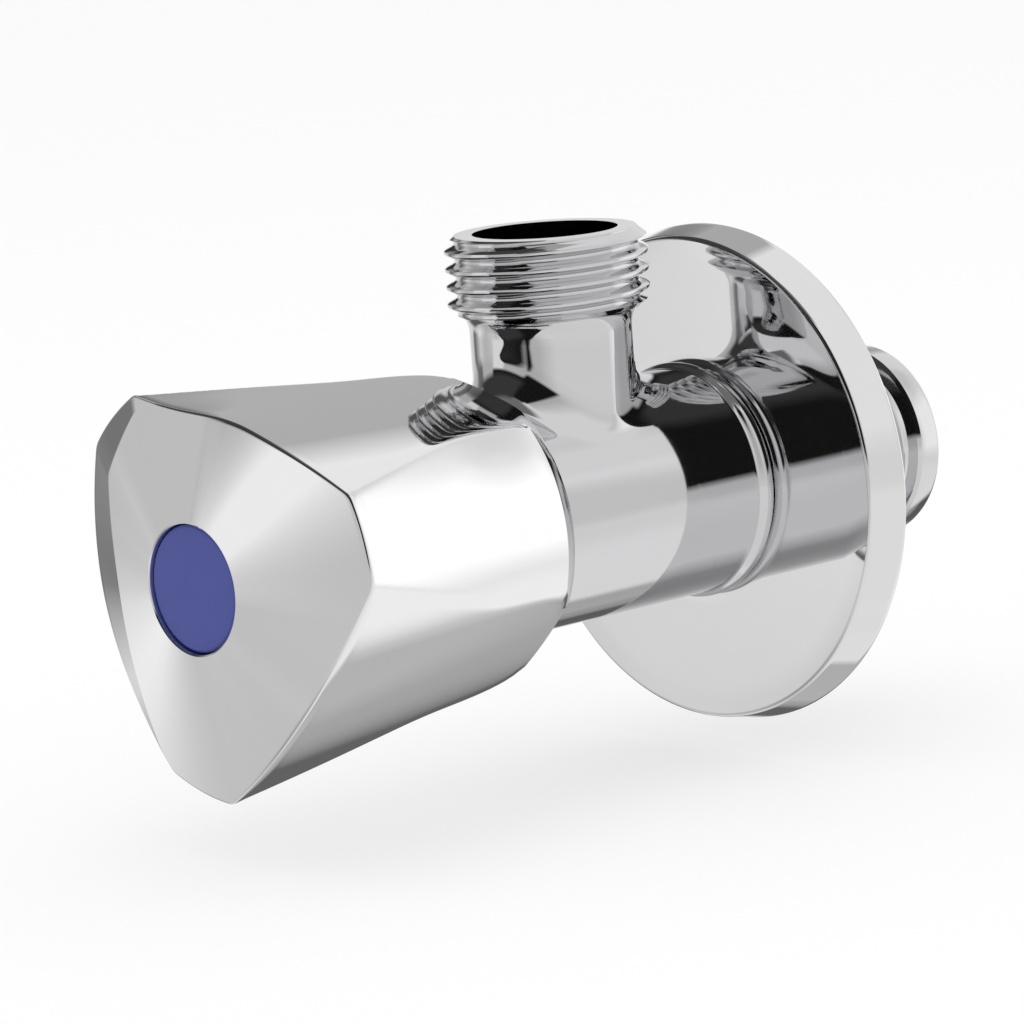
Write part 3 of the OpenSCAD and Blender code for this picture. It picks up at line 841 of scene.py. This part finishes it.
class VALVE_OT_rosette(bpy.types.Operator):
    """Model the pressed rosette with its crisp bend and nearly straight side wall"""

    bl_idname = "valve.rosette"
    bl_label = "Rosette"
    bl_options = {"REGISTER", "UNDO"}

    def execute(self, context):
        s = sizes()
        depth, sheet, bend, edge = s.rosette_depth, s.rosette_sheet, s.rosette_bend, ROSETTE_EDGE
        hole = s.thread_radius + ROSETTE_GAP
        flat = s.rosette_radius - s.rosette_wall
        rim = s.rosette_radius - ROSETTE_INSET
        quarter = math.pi / 2
        profile = [(depth - sheet, hole), (depth - edge, hole)]
        profile += arc((depth - edge, hole + edge), edge, -quarter, 0.0, 4)[1:]
        profile += [(depth, hole + (flat - hole) * share) for share in (0.2, 0.5, 0.8)]
        profile += arc((depth - bend, flat), bend, 0.0, ROSETTE_BEND_ANGLE, 10)
        start = profile[-1]
        for share in WALL_SHARES:
            profile.append((
                start[0] + (ROSETTE_RIM_ROUND - start[0]) * share, start[1] + (rim - start[1]) * share,
            ))
        profile += [(distance, rim - inset) for distance, inset in ROSETTE_RIM]
        profile += [(0.0, rim - sheet + ROSETTE_INNER_EDGE), (ROSETTE_INNER_EDGE, rim - sheet)]
        profile += [(depth - sheet - bend, flat + bend - sheet)]
        profile += arc((depth - sheet - bend, flat - sheet), bend, quarter, 0.0, 6)[1:]
        profile += [(depth - sheet, hole)]
        piece = revolve("rosette_chrome_plate", along_axis(profile), FORWARD, WALL_POINT, ROSETTE_STEPS)
        smooth(piece, degrees=35.0)
        # The rosette's chrome tone is darkened a little: painted shade on its reflections.
        plate = chrome_finish(
            "rosette_chrome", tuple(finish_colours().rosette_chrome), wave_scale=40.0, wave_distance=0.00002,
        )
        dress(piece, plate, "rosette", "rosette")
        return {"FINISHED"}


# Handle

def side_distance(turn, distance):
    """Radius of the three curved sides in one direction, at a distance from the wall"""
    s = sizes()
    share = (distance - s.handle_rim) / (s.handle_face - s.handle_rim)
    middle = s.side_rear + (s.side_front - s.side_rear) * share
    offset = s.side_radius - s.side_front
    drum = offset + middle
    reach = []
    for side in range(3):
        turned = turn - (s.lobe_direction + math.radians(60.0 + 120.0 * side))
        under = drum ** 2 - (offset * math.sin(turned)) ** 2
        reach.append(math.sqrt(max(under, 0.0)) - offset * math.cos(turned))
    return reach


def soft_least(values, blend):
    """The least of some values, with a rounded change from one to the next"""
    least = min(values)
    total = sum(math.exp(-(value - least) / blend) for value in values)
    return least - blend * math.log(total)


def cone_start():
    """Radius at which the conical face has its full height"""
    return sizes().button_radius + CONE_FLAT


def face_distance(radius):
    s = sizes()
    return s.handle_face - s.face_slope * (radius - cone_start())


def lobe_radius(distance):
    """Revolved outline of the handle: the rear dome runs softly into a straight taper"""
    s = sizes()
    front = face_distance(s.lobe_radius) - s.edge_chamfer
    fall = min(max(1.0 - (distance - s.handle_rim) / s.dome_length, 0.0), 1.0)
    dome = s.rim_radius + (s.waist_radius - s.rim_radius) * math.sqrt(1.0 - fall * fall)
    share = (front - distance) / (front - s.handle_rim - s.dome_length)
    taper = s.lobe_radius - (s.lobe_radius - s.waist_radius) * share
    return -soft_least([-dome, -taper], s.waist_blend)


def fading(turn, direction, narrowness):
    """One in a direction, falling to nothing beside it"""
    away = abs(math.remainder(turn - direction, math.tau))
    return math.cos(min(narrowness * away, math.pi / 2))


def fullness(turn, distance):
    """How far the handle of the picture stands out of the regular form, growing towards the face"""
    s = sizes()
    share = min(max((distance - s.handle_rim) / (s.handle_face - s.handle_rim), 0.0), 1.0)
    full = s.side_fullness * fading(turn, s.fullness_direction, FULLNESS_NARROWNESS) ** 2
    lean = s.lobe_leanness * fading(turn, s.leanness_direction, LEANNESS_NARROWNESS) ** 2
    return (full - lean) * share ** FULLNESS_GROWTH


def handle_radius(turn, distance):
    regular = soft_least([lobe_radius(distance), *side_distance(turn, distance)], SIDE_BLEND)
    return regular + fullness(turn, distance)


def bevel_at(turn):
    """Width of the bevel in one direction: widest on one side, running out to nothing"""
    s = sizes()
    return s.bevel_width * fading(turn, s.bevel_direction, BEVEL_NARROWNESS)


def ring_at(turns, pairs):
    """A ring of points about the inlet axis from one distance and radius for each direction"""
    return [
        (radius * math.cos(turn), -distance, radius * math.sin(turn))
        for turn, (distance, radius) in zip(turns, pairs)
    ]


def face_profile(turn):
    """The face in one direction: cone, bevel and rounded edge, as pairs of distance and radius"""
    s = sizes()
    slope, edge = s.face_slope, s.edge_radius
    width = bevel_at(turn)
    radius = s.side_front
    for _ in range(EDGE_ROUNDS):
        radius = handle_radius(turn, face_distance(radius) - s.bevel_slope * width)
    start = s.button_radius + CONE_RUN_IN
    bend = radius - edge - width
    cone = [start + (bend - start) * share for share in FACE_SHARES]
    pairs = [(face_distance(now), now) for now in cone]
    fall = face_distance(bend)
    for share in BEVEL_SHARES:
        pairs.append((fall - (slope + s.bevel_slope) * width * share, bend + width * share))
    corner = pairs[-1][0]
    tilt = math.atan(slope + (s.bevel_slope if width > LEAST_BEVEL else 0.0))
    sweep = math.pi / 2 - tilt
    for step in range(1, EDGE_STEPS + 1):
        swing = tilt + sweep * step / EDGE_STEPS
        pairs.append((
            corner - edge * (math.cos(tilt) - math.cos(swing)),
            bend + width + edge * (math.sin(swing) - math.sin(tilt)) / (1.0 - math.sin(tilt)),
        ))
    return pairs


def handle_rings():
    """Rings from the skirt's inside, over hub, recess, face and sides, to the rim and in again"""
    s = sizes()
    turns = [math.tau * step / HANDLE_STEPS for step in range(HANDLE_STEPS)]
    recess = s.button_radius + BUTTON_GAP
    bottom = s.handle_face - s.recess_depth
    web = bottom - WEB_THICKNESS
    inner = [
        (s.handle_rim + RIM_INNER_EDGE, s.skirt_radius), (SKIRT_BOTTOM, s.skirt_radius),
        (SKIRT_BOTTOM + SKIRT_BOTTOM_STEP, HUB_RADIUS), (SKIRT_BOTTOM + 2 * SKIRT_BOTTOM_STEP, SOCKET_RADIUS),
        (web, SOCKET_RADIUS), (web, SCREW_HOLE_RADIUS), (bottom, SCREW_HOLE_RADIUS), (bottom, recess),
        (s.handle_face - BUTTON_DEPTH, recess), (s.handle_face + FACE_LIP, recess + BUTTON_GAP),
    ]
    rings = [ring_at(turns, [pair] * HANDLE_STEPS) for pair in inner]
    profiles = [face_profile(turn) for turn in turns]
    for row in range(len(profiles[0])):
        rings.append(ring_at(turns, [profile[row] for profile in profiles]))
    rear = s.handle_rim + RIM_OUTER_EDGE
    for row in range(1, HANDLE_ROWS + 1):
        share = (row / HANDLE_ROWS) ** ROW_CROWDING
        ring = []
        for turn, profile in zip(turns, profiles):
            start = profile[-1][0]
            now = start + (rear - start) * share
            ring.append((now, handle_radius(turn, now)))
        rings.append(ring_at(turns, ring))
    for height, inset in RIM_ROUND:
        distance = s.handle_rim + height
        rings.append(ring_at(turns, [(distance, handle_radius(turn, rear) - inset) for turn in turns]))
    rings.append(ring_at(turns, [(s.handle_rim, s.skirt_radius + RIM_OUTER_EDGE)] * HANDLE_STEPS))
    rings.append(rings[0])
    return rings


class VALVE_OT_handle(bpy.types.Operator):
    """Model the hollow three-lobed handle with its conical face and button recess"""

    bl_idname = "valve.handle"
    bl_label = "Handle"
    bl_options = {"REGISTER", "UNDO"}

    def execute(self, context):
        piece = mesh_piece("handle_chrome_shell", handle_rings())
        tidy_mesh(piece)
        smooth(piece, degrees=28.0)
        plate = chrome_finish(
            "handle_chrome", tuple(finish_colours().handle_chrome), wave_scale=30.0, wave_distance=0.00001,
        )
        dress(piece, plate, "handle", "handle")
        return {"FINISHED"}


class VALVE_OT_button(bpy.types.Operator):
    """Model the index button, a cap with a rounded edge"""

    bl_idname = "valve.button"
    bl_label = "Index Button"
    bl_options = {"REGISTER", "UNDO"}

    def execute(self, context):
        s = sizes()
        radius, top = s.button_radius, s.handle_face - BUTTON_DEPTH
        bottom, inner = top - BUTTON_LENGTH, radius - BUTTON_WALL
        ceiling = top - BUTTON_TOP_WALL
        profile = [(ceiling, 0.0), (ceiling, inner), (bottom, inner), (bottom, radius)]
        profile += arc((top - BUTTON_EDGE, radius - BUTTON_EDGE), BUTTON_EDGE, math.pi / 2, 0.0, 8)
        profile += [(top + rise, radius * share) for rise, share in BUTTON_CROWN]
        piece = revolve("index_button_cap", along_axis(profile), FORWARD, WALL_POINT, BUTTON_STEPS)
        smooth(piece, degrees=40.0)
        dress(piece, button_finish(), "handle", "index_button")
        return {"FINISHED"}


class VALVE_OT_inner_pieces(bpy.types.Operator):
    """Give the cartridge, its seals and the fasteners their own finishes"""

    bl_idname = "valve.inner_pieces"
    bl_label = "Inner Pieces"
    bl_options = {"REGISTER", "UNDO"}

    def execute(self, context):
        colours = finish_colours()
        finishes = {
            "cartridge_brass": turned_finish("cartridge_brass", tuple(colours.brass), 0.30),
            "spindle_brass": turned_finish("spindle_brass", tuple(colours.brass), 0.24),
            "seal_rubber": rubber_finish("seal_rubber", tuple(colours.rubber)),
            "disc_ceramic": moulded_finish("disc_ceramic", tuple(colours.ceramic), 0.22, 5000.0),
            "white_polymer": moulded_finish("white_polymer", tuple(colours.polymer), 0.45, 2200.0),
            "fastener_steel": turned_finish("fastener_steel", tuple(colours.steel), 0.34),
        }
        for entry in frame["record"]["subparts"]:
            material = finishes.get(entry["material_slot"])
            if material is None:
                continue
            node = frame["nodes"][entry["node"]]
            for slot in node.material_slots:
                slot.material = material
        return {"FINISHED"}


# Stage

def view_axes(azimuth, elevation, roll):
    """Right, up and backward axes of the camera"""
    flat = math.cos(elevation)
    look = Vector((-math.sin(azimuth) * flat, math.cos(azimuth) * flat, -math.sin(elevation)))
    level = Vector((math.cos(azimuth), math.sin(azimuth), 0.0))
    top = level.cross(look)
    right = level * math.cos(roll) + top * math.sin(roll)
    up = top * math.cos(roll) - level * math.sin(roll)
    return right, up, -look


def add_camera(stage):
    data = bpy.data.cameras.new("product_camera")
    data.lens = stage.camera_lens
    data.sensor_width = CAMERA_FRAME
    data.clip_start, data.clip_end = CAMERA_REACH
    camera = bpy.data.objects.new("product_camera", data)
    bpy.context.collection.objects.link(camera)
    axes = view_axes(stage.camera_azimuth, stage.camera_elevation, stage.camera_roll)
    camera.matrix_world = Matrix.Translation(stage.camera_place) @ Matrix(axes).transposed().to_4x4()
    bpy.context.scene.camera = camera


def add_lamp(name, place, target, size, power):
    data = bpy.data.lights.new(name, "AREA")
    data.shape = "RECTANGLE"
    data.size, data.size_y = size
    data.energy = power
    lamp = bpy.data.objects.new(name, data)
    bpy.context.collection.objects.link(lamp)
    look = Vector(target) - Vector(place)
    lamp.matrix_world = Matrix.Translation(place) @ look.to_track_quat("-Z", "Y").to_matrix().to_4x4()
    return lamp


def studio_world():
    """White for the camera, plain grey light on the object, and a studio of cards for reflections"""
    world = bpy.data.worlds.new("studio")
    bpy.context.scene.world = world
    world.use_nodes = True
    tree = world.node_tree
    tree.nodes.clear()
    output = tree.nodes.new("ShaderNodeOutputWorld")
    background = tree.nodes.new("ShaderNodeBackground")
    path = tree.nodes.new("ShaderNodeLightPath")
    split = tree.nodes.new("ShaderNodeSeparateXYZ")
    tree.links.new(tree.nodes.new("ShaderNodeTexCoord").outputs["Generated"], split.inputs[0])
    across, along, upward = (Shade(tree, split.outputs[place]) for place in range(3))
    azimuth = across.join("ARCTAN2", across, along * -1.0)
    elevation = upward.join("ARCSINE", upward)
    studio = OPEN_STUDIO
    for direction, half_width, low, high, softness, level in STUDIO_CARDS:
        turned = azimuth - math.radians(direction)
        away = turned.join("ARCCOSINE", turned.join("COSINE", turned))
        steep = 1.0 / math.radians(softness)
        sides = ((away * -1.0 + math.radians(half_width)) * steep + 0.5).clamp(0.0, 1.0)
        bottom = ((elevation - math.radians(low)) * steep + 0.5).clamp(0.0, 1.0)
        top = ((elevation * -1.0 + math.radians(high)) * steep + 0.5).clamp(0.0, 1.0)
        cover = sides * bottom * top
        studio = studio * (1.0 - cover) + cover * level
    seen = Shade(tree, path.outputs["Is Camera Ray"]) + Shade(tree, path.outputs["Is Transmission Ray"])
    mirrored = Shade(tree, path.outputs["Is Glossy Ray"])
    matt = 1.0 - seen - mirrored
    strength = seen + mirrored * studio + matt * PLAIN_LIGHT
    background.inputs["Color"].default_value = (1.0, 1.0, 1.0, 1.0)
    tree.links.new(strength.socket, background.inputs["Strength"])
    tree.links.new(background.outputs[0], output.inputs["Surface"])


class VALVE_OT_stage(bpy.types.Operator):
    """Set the floor, the studio light and the camera"""

    bl_idname = "valve.stage"
    bl_label = "Stage"
    bl_options = {"REGISTER", "UNDO"}

    def execute(self, context):
        stage = context.scene.valve_stage
        add_camera(stage)
        studio_world()
        deselect()
        bpy.ops.mesh.primitive_plane_add(size=FLOOR_SIZE, location=(0.0, 0.0, stage.floor_height))
        floor = bpy.context.object
        floor.name = "studio_floor"
        floor.data.materials.append(floor_finish())
        floor.visible_glossy = False
        lamp = add_lamp("key_softbox", LAMP_PLACE, LAMP_TARGET, LAMP_SIZE, stage.lamp_power)
        lamp.visible_glossy = False
        context.scene.view_settings.view_transform = "Standard"
        return {"FINISHED"}


class VALVE_PT_panel(bpy.types.Panel):
    """Lists the steps that dress the valve"""

    bl_idname = "VALVE_PT_panel"
    bl_label = "Angle Valve"
    bl_space_type = "VIEW_3D"
    bl_region_type = "UI"
    bl_category = "Valve"

    def draw(self, context):
        for operator in OPERATORS:
            self.layout.operator(operator.bl_idname)
        for group in ("valve_sizes", "valve_finish", "valve_stage"):
            box = self.layout.box()
            for key in getattr(context.scene, group).bl_rna.properties.keys():
                if key not in {"rna_type", "name"}:
                    box.prop(getattr(context.scene, group), key)


OPERATORS = (
    VALVE_OT_body, VALVE_OT_rosette, VALVE_OT_handle, VALVE_OT_button, VALVE_OT_inner_pieces, VALVE_OT_stage,
)
GROUPS = {"valve_sizes": ValveSizes, "valve_finish": ValveFinish, "valve_stage": ValveStage}


def register():
    for group in GROUPS.values():
        bpy.utils.register_class(group)
    for operator in OPERATORS:
        bpy.utils.register_class(operator)
    bpy.utils.register_class(VALVE_PT_panel)
    for name, group in GROUPS.items():
        setattr(bpy.types.Scene, name, bpy.props.PointerProperty(type=group))


def unregister():
    for name in GROUPS:
        delattr(bpy.types.Scene, name)
    bpy.utils.unregister_class(VALVE_PT_panel)
    for operator in reversed(OPERATORS):
        bpy.utils.unregister_class(operator)
    for group in GROUPS.values():
        bpy.utils.unregister_class(group)


def main():
    register()
    bpy.ops.valve.body()
    bpy.ops.valve.rosette()
    bpy.ops.valve.handle()
    bpy.ops.valve.button()
    bpy.ops.valve.inner_pieces()
    bpy.ops.valve.stage()


if __name__ == "__main__":
    main()
